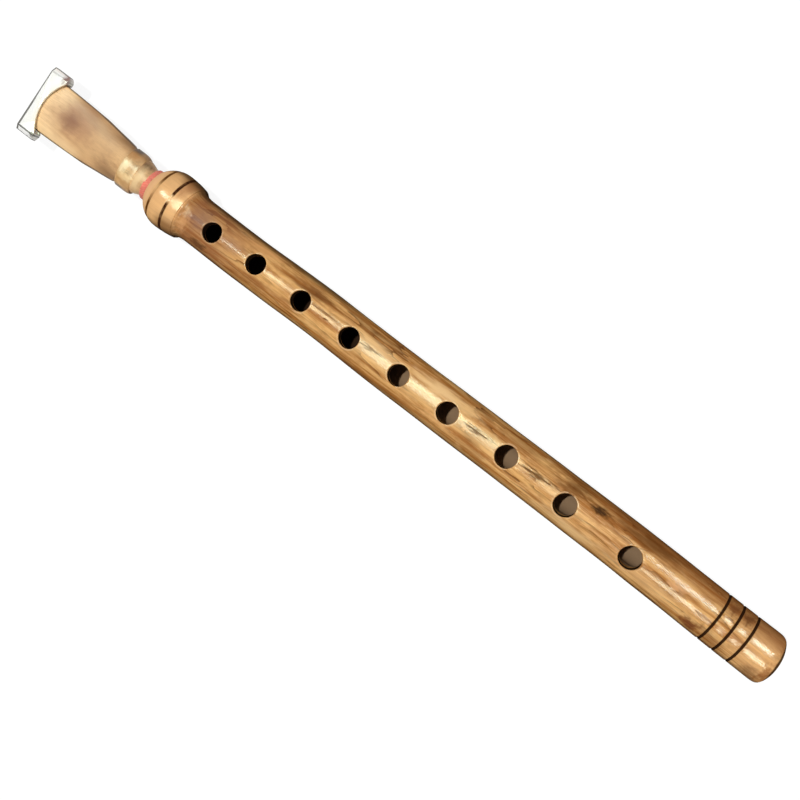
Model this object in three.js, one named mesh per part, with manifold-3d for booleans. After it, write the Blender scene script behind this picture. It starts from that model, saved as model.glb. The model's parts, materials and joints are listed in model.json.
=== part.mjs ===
// A duduk: a bored and turned wooden body with a bulb-shaped head, and a flattened cane reed that
// is seated in the bulb by a red thread winding. A cane bridle slides on the reed's neck, and a
// plastic cap keeps the reed's tip shut.
//
// Millimetres, +Z up. The instrument lies along X, its finger holes up and its reed towards -X.
// Places along it, called stations, are counted from the bulb's mouth at station 0: the body runs
// towards +X, and what stands out of the mouth has negative stations. The outer group then puts
// the origin under the middle of the whole, at the height of the table.

import * as THREE from "three";
import { mergeVertices } from "three/addons/utils/BufferGeometryUtils.js";
import Module from "manifold-3d";

const wasm = await Module();
wasm.setup();

// General sizes
const runningGap = 0.3;
const cutOverrun = 2;
const bodySides = 32;
const holeSides = 24;

// Body
const bodyLength = 350;
const boreDiameter = 11;
const socketSpareDepth = 2;
const mouthWall = 0.9;

// Bulb: two stretches of ellipse that meet at the crest
const bulbDiameter = 29;
const bulbCrestStation = 12.5;
const bulbShoulderStation = 22.7;
const bulbShoulderDiameter = 26.9;
const bulbStepLength = 0.7;
const bulbStepDepth = 0.5;
const coveEndStation = 29.5;
const bulbFrontSteps = 8;
const bulbBackSteps = 5;
const coveSteps = 5;

// Tube and foot
const tubeHeadDiameter = 22.7;
const tubeFootDiameter = 23.8;
const footRoundLength = 4.5;
const footRoundDepth = 1.8;
const footRoundSteps = 4;

// Burned rings
const ringWidth = 1.3;
const ringDepth = 0.5;
const bulbRingStation = 8.1;
const bulbRingSpacing = 8.7;
const bulbRingCount = 2;
const footRingInset = 15.1;
const footRingSpacing = 7.4;
const footRingCount = 3;

// Finger holes, drilled by hand: each gap to the hole before it, and the turn off the top line
const firstHoleStation = 41.2;
const holeSpacings = [25.7, 27.1, 28, 28, 27.5, 31.9, 32.6, 35.1];
const holeTurns = [0.4, 4.1, -1, 0, 1.2, 1, 3.9, -2.4, -7.1];
const firstHoleDiameter = 9.5;
const lastHoleDiameter = 10.7;
const thumbHoleDiameter = 9.5;
const thumbHoleShare = 0.5;

// Reed: a round tail, and a blade that is an oval tube through these sections. Each row holds the
// place from the tail to the tip as a share of the blade's length, the half width as a share of
// the tip's half width, and the half thickness as a share of the tail's radius. The tail's half
// width is its radius.
const reedLength = 87;
const reedInsertion = 14;
const reedTipWidth = 26.6;
const reedTailDiameter = 14.4;
const reedTailWall = 1.5;
const reedTipWall = 0.75;
const reedSides = 32;
const reedSteps = 28;
const bladeSectionShares = [
  [0.018, 0.583, 0.985],
  [0.044, 0.632, 0.951],
  [0.073, 0.672, 0.893],
  [0.115, 0.684, 0.858],
  [0.198, 0.698, 0.833],
  [0.215, 0.742, 0.782],
  [0.244, 0.771, 0.724],
  [0.301, 0.808, 0.618],
  [0.387, 0.857, 0.507],
  [0.479, 0.913, 0.41],
  [0.572, 0.936, 0.347],
  [0.672, 0.959, 0.299],
  [0.829, 0.985, 0.242],
  [1, 1, 0.188],
];

// Thread winding on the reed's tail
const threadDiameter = 0.7;
const threadPitch = 1.15;
const threadShowing = 2.9;
const threadTailMargin = 1;
const threadLoopSteps = 24;
const threadSides = 6;

// Bridle: its place is counted from the tail's end of the reed to its edge on the tip's side
const bridlePlace = 30.4;
const bridleWidth = 8.6;
const bridleThickness = 0.6;
const bridleTravel = 2;
const bridleSides = 40;
const bridleLapTurn = 200;
const bridleLapAngle = 60;

// Reed cap
const capOverhang = 1.1;
const capDepth = 9.9;
const capCheek = 3.7;
const capPlate = 1.15;
const capSideClearance = 0.6;
const capBevel = 1.7;
const capBevelDrop = 1.3;
const capNotchDepth = 5;
const capCornerRadius = 1.6;
const capArcSteps = 20;

const woodFinish = new THREE.MeshStandardMaterial({ color: 0xc08a50, roughness: 0.28, metalness: 0 });
const caneFinish = new THREE.MeshStandardMaterial({ color: 0xd9ae72, roughness: 0.5, metalness: 0 });
const threadFinish = new THREE.MeshStandardMaterial({ color: 0xe0605a, roughness: 0.85, metalness: 0 });
const bridleFinish = new THREE.MeshStandardMaterial({ color: 0xd8b070, roughness: 0.4, metalness: 0 });
const capFinish = new THREE.MeshStandardMaterial({ color: 0xf2eedc, roughness: 0.3, metalness: 0 });

function weld(geometry) {
  const bare = geometry.clone();
  bare.deleteAttribute("normal");
  bare.deleteAttribute("uv");
  return mergeVertices(bare);
}

function toSolid(geometry) {
  const welded = weld(geometry);
  return new wasm.Manifold(new wasm.Mesh({
    numProp: 3,
    vertProperties: new Float32Array(welded.attributes.position.array),
    triVerts: new Uint32Array(welded.index.array),
  }));
}

function toGeometry(solid) {
  const mesh = solid.getMesh();
  const geometry = new THREE.BufferGeometry();
  geometry.setAttribute("position", new THREE.BufferAttribute(mesh.vertProperties, 3));
  geometry.setIndex(new THREE.BufferAttribute(mesh.triVerts, 1));
  return geometry;
}

function finishedMesh(name, geometry, finish) {
  geometry.computeVertexNormals();
  const mesh = new THREE.Mesh(geometry, finish);
  mesh.name = name;
  return mesh;
}

// Turned shape: the outline lists [station, radius] and closes on itself. It turns about X, with
// a flat facet at the bottom, on which the instrument lies.
function turned(outline, sides) {
  const points = outline.map(([station, radius]) => new THREE.Vector2(radius, station));
  points.push(points[0].clone());
  const geometry = new THREE.LatheGeometry(points, sides, Math.PI / sides);
  geometry.rotateZ(-Math.PI / 2);
  return geometry;
}

// Body
function socketRadius() {
  return reedTailDiameter / 2 + threadDiameter + 2 * runningGap;
}

// The bulb's ellipse passes through the crest and through one more station and radius.
function bulbArc(station, throughStation, throughRadius) {
  const crest = bulbDiameter / 2;
  const drop = 1 - (throughRadius / crest) ** 2;
  const share = (station - bulbCrestStation) / (throughStation - bulbCrestStation);
  return crest * Math.sqrt(1 - drop * share * share);
}

function bulbRadius(station) {
  if (station < bulbCrestStation) {
    return bulbArc(station, 0, socketRadius() + mouthWall);
  }
  return bulbArc(station, bulbShoulderStation, bulbShoulderDiameter / 2);
}

function tubeRadius(station) {
  const share = (station - coveEndStation) / (bodyLength - coveEndStation);
  return THREE.MathUtils.lerp(tubeHeadDiameter, tubeFootDiameter, share) / 2;
}

function evenStations(from, to, steps) {
  return Array.from({ length: steps + 1 }, (_, i) => THREE.MathUtils.lerp(from, to, i / steps));
}

function ringStations(first, spacing, count) {
  return Array.from({ length: count }, (_, i) => first + spacing * i);
}

// A burned ring is a V cut into whatever the outline is there.
function withRings(outline, rings, radiusAt) {
  const half = ringWidth / 2;
  const kept = outline.filter(([station]) => rings.every((ring) => Math.abs(station - ring) > ringWidth));
  for (const ring of rings) {
    kept.push([ring - half, radiusAt(ring - half)]);
    kept.push([ring, radiusAt(ring) - ringDepth]);
    kept.push([ring + half, radiusAt(ring + half)]);
  }
  return kept.sort((a, b) => a[0] - b[0]);
}

function bulbOutline() {
  const front = evenStations(0, bulbCrestStation, bulbFrontSteps);
  const back = evenStations(bulbCrestStation, bulbShoulderStation, bulbBackSteps).slice(1);
  const outline = [...front, ...back].map((station) => [station, bulbRadius(station)]);
  const rings = ringStations(bulbRingStation, bulbRingSpacing, bulbRingCount);
  return withRings(outline, rings, bulbRadius);
}

// Behind the bulb a small step leads to a hollow cove that runs out into the tube.
function coveOutline() {
  const start = bulbShoulderStation + bulbStepLength;
  const top = bulbShoulderDiameter / 2 - bulbStepDepth;
  const bottom = tubeRadius(coveEndStation);
  return Array.from({ length: coveSteps + 1 }, (_, i) => {
    const angle = i / coveSteps * Math.PI / 2;
    const station = start + (coveEndStation - start) * (1 - Math.cos(angle));
    return [station, top - (top - bottom) * Math.sin(angle)];
  });
}

function footOutline() {
  const start = bodyLength - footRoundLength;
  const lastRing = bodyLength - footRingInset;
  const rings = withRings([], ringStations(lastRing, -footRingSpacing, footRingCount), tubeRadius);
  const round = Array.from({ length: footRoundSteps + 1 }, (_, i) => {
    const angle = i / footRoundSteps * Math.PI / 2;
    const station = start + footRoundLength * Math.sin(angle);
    return [station, tubeRadius(start) - footRoundDepth * (1 - Math.cos(angle))];
  });
  return [...rings, ...round];
}

function holeStations() {
  const stations = [firstHoleStation];
  for (const spacing of holeSpacings) {
    stations.push(stations.at(-1) + spacing);
  }
  return stations;
}

// A hole's cutter starts on the bore's axis and stands out past the wood.
function holeCutter(station, diameter, turn) {
  const height = bulbDiameter / 2 + cutOverrun;
  const cutter = new THREE.CylinderGeometry(diameter / 2, diameter / 2, height, holeSides);
  cutter.rotateX(Math.PI / 2);
  cutter.translate(0, 0, height / 2);
  cutter.rotateX(-THREE.MathUtils.degToRad(turn));
  cutter.translate(station, 0, 0);
  return toSolid(cutter);
}

function bodyGeometry() {
  const bore = boreDiameter / 2;
  const socket = socketRadius();
  const socketFloor = reedInsertion + socketSpareDepth;
  const outline = [
    ...bulbOutline(),
    ...coveOutline(),
    ...footOutline(),
    [bodyLength, bore],
    [socketFloor, bore],
    [socketFloor, socket],
    [0, socket],
  ];
  let solid = toSolid(turned(outline, bodySides));
  const stations = holeStations();
  stations.forEach((station, i) => {
    const share = i / (stations.length - 1);
    const diameter = THREE.MathUtils.lerp(firstHoleDiameter, lastHoleDiameter, share);
    solid = solid.subtract(holeCutter(station, diameter, holeTurns[i]));
  });
  const thumbStation = THREE.MathUtils.lerp(stations[0], stations[1], thumbHoleShare);
  solid = solid.subtract(holeCutter(thumbStation, thumbHoleDiameter, 180));
  return toGeometry(solid);
}

// Reed: its sections as [station, half width, half thickness], from the tail's end to the tip.
// The tail stays round as far as the thread winding shows out of the mouth.
const tailRadius = reedTailDiameter / 2;
const bladeLength = reedLength - reedInsertion - threadShowing;
const reedSections = [
  [reedInsertion, tailRadius, tailRadius],
  [-threadShowing, tailRadius, tailRadius],
  ...bladeSectionShares.map(([place, width, thickness]) => [
    -threadShowing - place * bladeLength,
    width * reedTipWidth / 2,
    thickness * tailRadius,
  ]),
];
const reedCurve = new THREE.CatmullRomCurve3(
  reedSections.map((section) => new THREE.Vector3(...section)),
  false,
  "centripetal",
);

// The reed's half width and half thickness at a station, straight between its sections
function reedHalves(station) {
  const row = Math.max(reedSections.findIndex(([sectionStation]) => sectionStation <= station), 1);
  const [highStation, highWidth, highThickness] = reedSections[row - 1];
  const [lowStation, lowWidth, lowThickness] = reedSections[row];
  const share = (highStation - station) / (highStation - lowStation);
  return {
    width: THREE.MathUtils.lerp(highWidth, lowWidth, share),
    thickness: THREE.MathUtils.lerp(highThickness, lowThickness, share),
  };
}

function ovalRing(station, halfWidth, halfThickness) {
  return Array.from({ length: reedSides }, (_, i) => {
    const angle = i / reedSides * 2 * Math.PI;
    return [station, halfWidth * Math.cos(angle), halfThickness * Math.sin(angle)];
  });
}

// Skins a closed chain of rings, each given as a list of points in the same turning sense.
function skinnedLoop(rings) {
  const sides = rings[0].length;
  const index = [];
  rings.forEach((_, k) => {
    const next = (k + 1) % rings.length;
    for (let i = 0; i < sides; i += 1) {
      const j = (i + 1) % sides;
      const a = k * sides + i;
      const b = k * sides + j;
      const c = next * sides + j;
      const d = next * sides + i;
      index.push(a, b, c, a, c, d);
    }
  });
  const geometry = new THREE.BufferGeometry();
  geometry.setAttribute("position", new THREE.Float32BufferAttribute(rings.flat(2), 3));
  geometry.setIndex(index);
  return geometry;
}

// The skin runs up the outside from the tip to the tail, and back up the inside to the tip.
function reedGeometry() {
  const places = evenStations(0, 1, reedSteps).reverse();
  const outside = [];
  const inside = [];
  for (const place of places) {
    const point = reedCurve.getPoint(place);
    const wall = THREE.MathUtils.lerp(reedTailWall, reedTipWall, place);
    outside.push(ovalRing(point.x, point.y, point.z));
    inside.unshift(ovalRing(point.x, point.y - wall, point.z - wall));
  }
  return skinnedLoop([...outside, ...inside]);
}

// Thread winding: one helix whose two ends run on straight for one diameter of the thread.
function windingPath() {
  const radius = tailRadius + runningGap + threadDiameter / 2;
  const start = threadDiameter / 2 - threadShowing;
  const loops = Math.floor((reedInsertion - threadTailMargin - start) / threadPitch);
  const steps = loops * threadLoopSteps;
  const points = Array.from({ length: steps + 1 }, (_, i) => {
    const angle = i / threadLoopSteps * 2 * Math.PI;
    const station = start + threadPitch * i / threadLoopSteps;
    return new THREE.Vector3(station, radius * Math.cos(angle), radius * Math.sin(angle));
  });
  const runOn = (end, before) => end.clone().add(end.clone().sub(before).setLength(threadDiameter));
  return [runOn(points[0], points[1]), ...points, runOn(points.at(-1), points.at(-2))];
}

// The least gap between two stretches of the thread that lie a loop or so apart.
function leastGap(points) {
  let least = Infinity;
  const apart = threadLoopSteps / 2;
  for (let i = 0; i < points.length; i += 1) {
    for (let j = i + apart; j < points.length; j += 1) {
      least = Math.min(least, points[i].distanceTo(points[j]));
    }
  }
  return least - threadDiameter;
}

function windingGeometry() {
  const path = windingPath();
  console.log(`thread winding: least gap to itself ${leastGap(path).toFixed(3)} mm`);
  const alongAxis = new THREE.Vector3(1, 0, 0);
  const positions = [];
  path.forEach((point, k) => {
    const before = path[Math.max(k - 1, 0)];
    const after = path[Math.min(k + 1, path.length - 1)];
    const along = after.clone().sub(before).normalize();
    const outward = new THREE.Vector3().crossVectors(along, alongAxis).normalize();
    const across = new THREE.Vector3().crossVectors(outward, along);
    for (let i = 0; i < threadSides; i += 1) {
      const angle = i / threadSides * 2 * Math.PI;
      const corner = point.clone()
        .addScaledVector(outward, threadDiameter / 2 * Math.cos(angle))
        .addScaledVector(across, threadDiameter / 2 * Math.sin(angle));
      positions.push(corner.x, corner.y, corner.z);
    }
  });
  const index = [];
  for (let k = 0; k < path.length - 1; k += 1) {
    for (let i = 0; i < threadSides; i += 1) {
      const j = (i + 1) % threadSides;
      const a = k * threadSides + i;
      const b = k * threadSides + j;
      const c = b + threadSides;
      const d = a + threadSides;
      index.push(a, c, b, a, d, c);
    }
  }
  const last = (path.length - 1) * threadSides;
  for (let i = 1; i < threadSides - 1; i += 1) {
    index.push(0, i, i + 1);
    index.push(last, last + i + 1, last + i);
  }
  const geometry = new THREE.BufferGeometry();
  geometry.setAttribute("position", new THREE.Float32BufferAttribute(positions, 3));
  geometry.setIndex(index);
  return geometry;
}

// Bridle: a strip of cane bent to an oval, one end lapped over the other and shaved to a slope.
// Its hole clears the widest and the thickest section of the reed that it meets on its travel.
function bridleOutline(halfWidth, halfHeight, lapThickness) {
  return Array.from({ length: bridleSides }, (_, i) => {
    const degrees = i / bridleSides * 360;
    const past = (degrees - bridleLapTurn + 360) % 360;
    const lap = lapThickness * Math.max(1 - past / bridleLapAngle, 0);
    const angle = THREE.MathUtils.degToRad(degrees);
    return new THREE.Vector2(
      (halfWidth + lap) * Math.cos(angle),
      (halfHeight + lap) * Math.sin(angle),
    );
  });
}

// Extrudes a shape of Y and Z along X.
function extrudedAlongX(shape, length) {
  const geometry = new THREE.ExtrudeGeometry(shape, { depth: length, bevelEnabled: false });
  geometry.rotateX(Math.PI / 2);
  geometry.rotateZ(Math.PI / 2);
  return geometry;
}

function bridleGeometry() {
  const tipEdge = reedInsertion - bridlePlace;
  const tailEdge = tipEdge + bridleWidth;
  const halfWidth = reedHalves(tipEdge).width + runningGap;
  const halfHeight = reedHalves(tailEdge + bridleTravel).thickness + runningGap;
  const outer = bridleOutline(halfWidth + bridleThickness, halfHeight + bridleThickness, bridleThickness);
  const shape = new THREE.Shape(outer);
  shape.holes.push(new THREE.Path(bridleOutline(halfWidth, halfHeight, 0).reverse()));
  const geometry = extrudedAlongX(shape, bridleWidth);
  geometry.translate(tipEdge, 0, 0);
  return weld(geometry);
}

// Reed cap: its plan has round corners and a hollow notch at the back, its section has bevelled
// ends, and a slot that follows the reed's taper runs through it.
const capTipStation = reedInsertion - reedLength - capOverhang;
const capSlotHalf = reedTipWidth / 2 + capSideClearance;
const capHalfLength = capSlotHalf + capCheek;
const capSlotBack = reedHalves(capTipStation + capDepth).thickness + runningGap;
const capSlotFront = reedHalves(reedInsertion - reedLength).thickness + runningGap;
const capRise = capSlotBack + capPlate;

function capPlan() {
  const corner = capCornerRadius;
  const radius = (capSlotHalf ** 2 + capNotchDepth ** 2) / (2 * capNotchDepth);
  const sweep = Math.asin(capSlotHalf / radius);
  const centre = capDepth - capNotchDepth + radius;
  const shape = new THREE.Shape();
  shape.moveTo(0, -capHalfLength);
  shape.lineTo(capDepth - corner, -capHalfLength);
  shape.absarc(capDepth - corner, -capHalfLength + corner, corner, -Math.PI / 2, 0, false);
  shape.absarc(centre, 0, radius, Math.PI + sweep, Math.PI - sweep, true);
  shape.absarc(capDepth - corner, capHalfLength - corner, corner, 0, Math.PI / 2, false);
  shape.lineTo(0, capHalfLength);
  return shape;
}

function capSection() {
  const side = capRise - capBevelDrop;
  const top = capHalfLength - capBevel;
  return new THREE.Shape([
    new THREE.Vector2(top, -capRise),
    new THREE.Vector2(capHalfLength, -side),
    new THREE.Vector2(capHalfLength, side),
    new THREE.Vector2(top, capRise),
    new THREE.Vector2(-top, capRise),
    new THREE.Vector2(-capHalfLength, side),
    new THREE.Vector2(-capHalfLength, -side),
    new THREE.Vector2(-top, -capRise),
  ]);
}

// The slot's cutter is a wedge of X and Z, run across the reed's width.
function capSlotGeometry() {
  const overrunRise = (capSlotBack - capSlotFront) * cutOverrun / capDepth;
  const front = capSlotFront - overrunRise;
  const back = capSlotBack + overrunRise;
  const shape = new THREE.Shape([
    new THREE.Vector2(-cutOverrun, -front),
    new THREE.Vector2(capDepth + cutOverrun, -back),
    new THREE.Vector2(capDepth + cutOverrun, back),
    new THREE.Vector2(-cutOverrun, front),
  ]);
  const geometry = new THREE.ExtrudeGeometry(shape, { depth: 2 * capSlotHalf, bevelEnabled: false });
  geometry.translate(0, 0, -capSlotHalf);
  geometry.rotateX(Math.PI / 2);
  return geometry;
}

function capGeometry() {
  const plan = new THREE.ExtrudeGeometry(capPlan(), {
    depth: 2 * capRise,
    bevelEnabled: false,
    curveSegments: capArcSteps,
  });
  plan.translate(0, 0, -capRise);
  const section = extrudedAlongX(capSection(), capDepth + 2 * cutOverrun);
  section.translate(-cutOverrun, 0, 0);
  const solid = toSolid(plan).intersect(toSolid(section)).subtract(toSolid(capSlotGeometry()));
  const geometry = toGeometry(solid);
  geometry.translate(capTipStation, 0, 0);
  return geometry;
}

// The whole instrument, with its origin below its middle, on the table
const instrument = new THREE.Group();
instrument.add(finishedMesh("body", bodyGeometry(), woodFinish));
instrument.add(finishedMesh("reed", reedGeometry(), caneFinish));
instrument.add(finishedMesh("thread_winding", windingGeometry(), threadFinish));
instrument.add(finishedMesh("bridle", bridleGeometry(), bridleFinish));
instrument.add(finishedMesh("reed_cap", capGeometry(), capFinish));
instrument.position.x = -(capTipStation + bodyLength) / 2;
instrument.position.z = bulbDiameter / 2 * Math.cos(Math.PI / bodySides);

export default instrument;
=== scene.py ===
# %% [markdown]
# # A duduk, dressed for its picture
#
# The instrument is a bored and turned wooden body with a bulb-shaped head. A flattened cane reed
# is wound with red thread at its tail and pushed into the bulb. A cane bridle slides on the reed,
# and an ivory-coloured cap keeps its tip shut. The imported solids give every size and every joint.
# This script builds the fine surfaces over them, one piece at a time.

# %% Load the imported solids
import json
import math

import bmesh
import bpy
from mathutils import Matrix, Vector

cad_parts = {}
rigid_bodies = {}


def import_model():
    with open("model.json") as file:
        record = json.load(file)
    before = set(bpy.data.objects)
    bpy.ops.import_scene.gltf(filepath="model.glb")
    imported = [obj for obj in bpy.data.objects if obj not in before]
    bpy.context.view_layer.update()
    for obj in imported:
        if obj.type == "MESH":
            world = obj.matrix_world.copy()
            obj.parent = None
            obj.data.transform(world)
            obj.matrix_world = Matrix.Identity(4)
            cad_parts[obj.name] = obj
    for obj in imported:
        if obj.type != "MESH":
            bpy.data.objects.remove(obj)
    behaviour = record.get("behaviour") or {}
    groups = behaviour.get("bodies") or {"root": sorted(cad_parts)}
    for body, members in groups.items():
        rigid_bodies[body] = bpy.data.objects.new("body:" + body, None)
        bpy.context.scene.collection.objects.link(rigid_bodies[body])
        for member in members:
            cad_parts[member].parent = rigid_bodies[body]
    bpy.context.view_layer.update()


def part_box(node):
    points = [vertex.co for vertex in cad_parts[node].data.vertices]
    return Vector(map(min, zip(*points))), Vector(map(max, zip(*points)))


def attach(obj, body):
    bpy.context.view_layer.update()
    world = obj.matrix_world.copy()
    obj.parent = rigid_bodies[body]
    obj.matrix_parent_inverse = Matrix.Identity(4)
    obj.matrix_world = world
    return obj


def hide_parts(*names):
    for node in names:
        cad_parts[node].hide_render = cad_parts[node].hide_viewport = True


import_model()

# %% [markdown]
# A maker works from one end of the tube, so places are counted in millimetres from the bulb's
# mouth, and widths from the bore's axis. Small functions turn them into the scene's metres and
# back, and a ramp lets a change of shape fade in along the piece.

# %% Places along the bore
MM = 0.001
body_low, body_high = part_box("body")
MOUTH_X = body_low.x
AXIS_Z = (body_low.z + body_high.z) / 2


def along(station):
    return MOUTH_X + station * MM


def spot(station, across, up):
    return Vector((along(station), across * MM, AXIS_Z + up * MM))


def station_of(point):
    return (point.x - MOUTH_X) / MM


def ramp(value, start, end):
    """Rises evenly from 0 at the start to 1 at the end, and stays at those outside."""
    return min(max((value - start) / (end - start), 0), 1)


print("mouth at", round(MOUTH_X, 5), "m, bore axis at height", round(AXIS_Z, 5), "m")

# %% [markdown]
# Every operator in Blender acts on whatever is selected, so each step starts by selecting only
# its own piece. These helpers do that, switch edit mode on and off, and pick parts of a mesh by
# a rule about their place.

# %% Helpers for working on one piece at a time


def pick(piece):
    bpy.ops.object.select_all(action="DESELECT")
    piece.select_set(True)
    bpy.context.view_layer.objects.active = piece
    return piece


def edit(piece, whole=False):
    pick(piece)
    bpy.ops.object.mode_set(mode="EDIT")
    bpy.ops.mesh.select_all(action="SELECT" if whole else "DESELECT")


def done():
    bpy.ops.object.mode_set(mode="OBJECT")


def select(piece, kind, rule):
    """Selects the verts, edges or faces of the piece in edit mode that the rule accepts."""
    bpy.ops.mesh.select_mode(type={"verts": "VERT", "edges": "EDGE", "faces": "FACE"}[kind])
    bpy.ops.mesh.select_all(action="DESELECT")
    mesh = bmesh.from_edit_mesh(piece.data)
    chosen = [item for item in getattr(mesh, kind) if rule(item)]
    for item in chosen:
        item.select_set(True)
    mesh.select_flush_mode()
    bmesh.update_edit_mesh(piece.data)
    return len(chosen)


def is_open(edge):
    return len(edge.link_faces) < 2


def apply(piece, kind, **settings):
    pick(piece)
    modifier = piece.modifiers.new(kind.lower(), kind)
    for name, value in settings.items():
        setattr(modifier, name, value)
    bpy.ops.object.modifier_apply(modifier=modifier.name)


def outward(piece):
    """Closes the seams of a piece and turns all its faces outwards."""
    edit(piece, whole=True)
    bpy.ops.mesh.remove_doubles(threshold=0.002 * MM)
    bpy.ops.mesh.normals_make_consistent(inside=False)
    done()


def report(piece):
    low, high = (Vector(corner) for corner in (piece.bound_box[0], piece.bound_box[6]))
    size = [round(side / MM, 2) for side in high - low]
    print(piece.name, "size", size, "mm,", len(piece.data.polygons), "faces")


def smooth(piece, degrees):
    """Shades a piece smooth, apart from edges that turn by more than the degrees."""
    pick(piece)
    bpy.ops.object.shade_smooth_by_angle(angle=math.radians(degrees))
    report(piece)


# %% [markdown]
# An outline is drawn as a turner draws it: one point after the other. The piece starts as a plane
# that is cut down to a single vertex, and each further point is an extrusion of the last one.

# %% Draw an outline point by point


def draw_outline(name, points, closed=True):
    bpy.ops.object.select_all(action="DESELECT")
    bpy.ops.mesh.primitive_plane_add(size=MM)
    piece = bpy.context.object
    piece.name = name
    edit(piece)
    select(piece, "verts", lambda vertex: vertex.index > 0)
    bpy.ops.mesh.delete(type="VERT")
    mesh = bmesh.from_edit_mesh(piece.data)
    mesh.verts.ensure_lookup_table()
    mesh.verts[0].co = points[0]
    mesh.verts[0].select_set(True)
    bmesh.update_edit_mesh(piece.data)
    for before, after in zip(points, points[1:]):
        bpy.ops.mesh.extrude_vertices_move(TRANSFORM_OT_translate={"value": after - before})
    if closed:
        select(piece, "verts", lambda vertex: len(vertex.link_edges) < 2)
        bpy.ops.mesh.edge_face_add()
    done()
    return piece


# %% [markdown]
# No tube of wood stays dead straight. This one swings to and fro by about half a millimetre. The
# swing is written down at thirteen even places from the cap to the foot. A lattice with as many
# points will bend the finished pieces, and the holes are turned a little to stay where they are.

# %% The bend of the tube
BEND_FROM = -80
BEND_TO = 352
BEND = [-0.45, -0.45, -0.42, -0.46, -0.42, 0.38, 0.12, 0.25, 0.52, 0.62, 0.6, -0.02, -0.45]
DRILLED_ASIDE = 0.4
MEAN_RADIUS = 11.5


def bend_at(station):
    place = (station - BEND_FROM) / (BEND_TO - BEND_FROM) * (len(BEND) - 1)
    low = min(int(place), len(BEND) - 2)
    return BEND[low] + (BEND[low + 1] - BEND[low]) * (place - low)


# %% [markdown]
# The body is turned on a lathe. Its outline runs over the bulb with its two burned rings, down a
# small step into the cove, along the slowly widening tube, over the three rings at the foot, and
# back through the bore and the wider socket for the reed. Rows of points stand close together
# where a finger hole will be cut, because the hole's rim will use them.

# %% Sizes of the body
BODY_LENGTH = 350
BORE_RADIUS = 5.5
SOCKET_RADIUS = 8.5
SOCKET_DEPTH = 16
LIP_STATION = 1.8
LIP_RADIUS = 9.0
MOUTH_CHAMFER = 0.15
BULB_RADIUS = 14.42
CREST = 12.5
SHOULDER = 22.7
SHOULDER_RADIUS = 13.4
STEP_RUN = 0.7
STEP_DROP = 0.5
COVE_END = 29.5
EVEN_END = 318
LAST_ROWS = [338, 341, 343.5]
FOOT_BORE_FROM = 286
TUBE_HEAD_RADIUS = 11.32
TUBE_FOOT_RADIUS = 11.87
FOOT_END = [
    (346.3, 11.86), (347.4, 11.81), (348.2, 11.7), (348.9, 11.5), (349.5, 11.2), (350.0, 10.8),
    (350.5, 10.2), (351.0, 9.4), (351.5, 8.4), (351.95, 7.3), (352.25, 6.4), (352.3, 6.0), (352.0, 5.5),
]
FOOT_SKEW = 0.05
SKEW_FROM, SKEW_TO = 344, 349
BULB_RINGS = [8.1, 16.8]
FOOT_RINGS = [320.1, 327.5, 334.9]
BULB_RING_WEAR = 0.3
GROOVE = [(-0.7, 0), (-0.5, 0.05), (-0.32, 0.33), (0, 0.45), (0.32, 0.33), (0.5, 0.05), (0.7, 0)]
HOLE_STATIONS = [41.2, 66.9, 94.0, 122.0, 150.0, 177.5, 209.4, 242.0, 277.1]
HOLE_TURNS = [0.4, 4.1, -1.0, 0.0, 1.2, 1.0, 3.9, -2.4, -7.1]
HOLE_RADIUS_FIRST = 4.75
HOLE_RADIUS_LAST = 5.35
THUMB_SHARE = 0.46
THUMB_STATION = HOLE_STATIONS[0] + THUMB_SHARE * (HOLE_STATIONS[1] - HOLE_STATIONS[0])
WINDOW_MARGIN = 1.6
WINDOW_ROWS = 20
SIDES = 96

holes = [
    (station, turn + math.degrees((DRILLED_ASIDE - bend_at(station)) / MEAN_RADIUS),
     HOLE_RADIUS_FIRST + (HOLE_RADIUS_LAST - HOLE_RADIUS_FIRST) * i / (len(HOLE_STATIONS) - 1))
    for i, (station, turn) in enumerate(zip(HOLE_STATIONS, HOLE_TURNS))
]
holes.append((THUMB_STATION, 180.0, HOLE_RADIUS_FIRST))


def bulb_arc(station, through, through_radius):
    drop = 1 - (through_radius / BULB_RADIUS) ** 2
    share = (station - CREST) / (through - CREST)
    return BULB_RADIUS * math.sqrt(1 - drop * share * share)


def body_radius(station):
    """Outer radius of the plain body, without its burned rings."""
    if station <= CREST:
        return bulb_arc(station, LIP_STATION, LIP_RADIUS)
    if station <= SHOULDER:
        return bulb_arc(station, SHOULDER, SHOULDER_RADIUS)
    share = (station - COVE_END) / (BODY_LENGTH - COVE_END)
    tube = TUBE_HEAD_RADIUS + (TUBE_FOOT_RADIUS - TUBE_HEAD_RADIUS) * share
    if station < COVE_END:
        start = SHOULDER + STEP_RUN
        angle = math.acos(1 - max(station - start, 0) / (COVE_END - start))
        top = SHOULDER_RADIUS - STEP_DROP
        return top - (top - tube) * math.sin(angle)
    return tube


def spaced(first, last, steps):
    return [first + (last - first) * i / steps for i in range(steps + 1)]


# %% Outline of the body
stations = spaced(LIP_STATION + 0.35, CREST, 14) + spaced(CREST, SHOULDER, 10)[1:]
stations += [SHOULDER + 0.25, SHOULDER + 0.5] + spaced(SHOULDER + STEP_RUN, COVE_END, 9)
for station, turn, radius in holes:
    reach = radius + WINDOW_MARGIN
    stations += spaced(station - reach, station + reach, WINDOW_ROWS)
even_rows = spaced(COVE_END, EVEN_END, 60)
stations += even_rows + LAST_ROWS


def in_window(station):
    return any(abs(station - hole[0]) < hole[2] + WINDOW_MARGIN - 0.01 for hole in holes)


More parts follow.
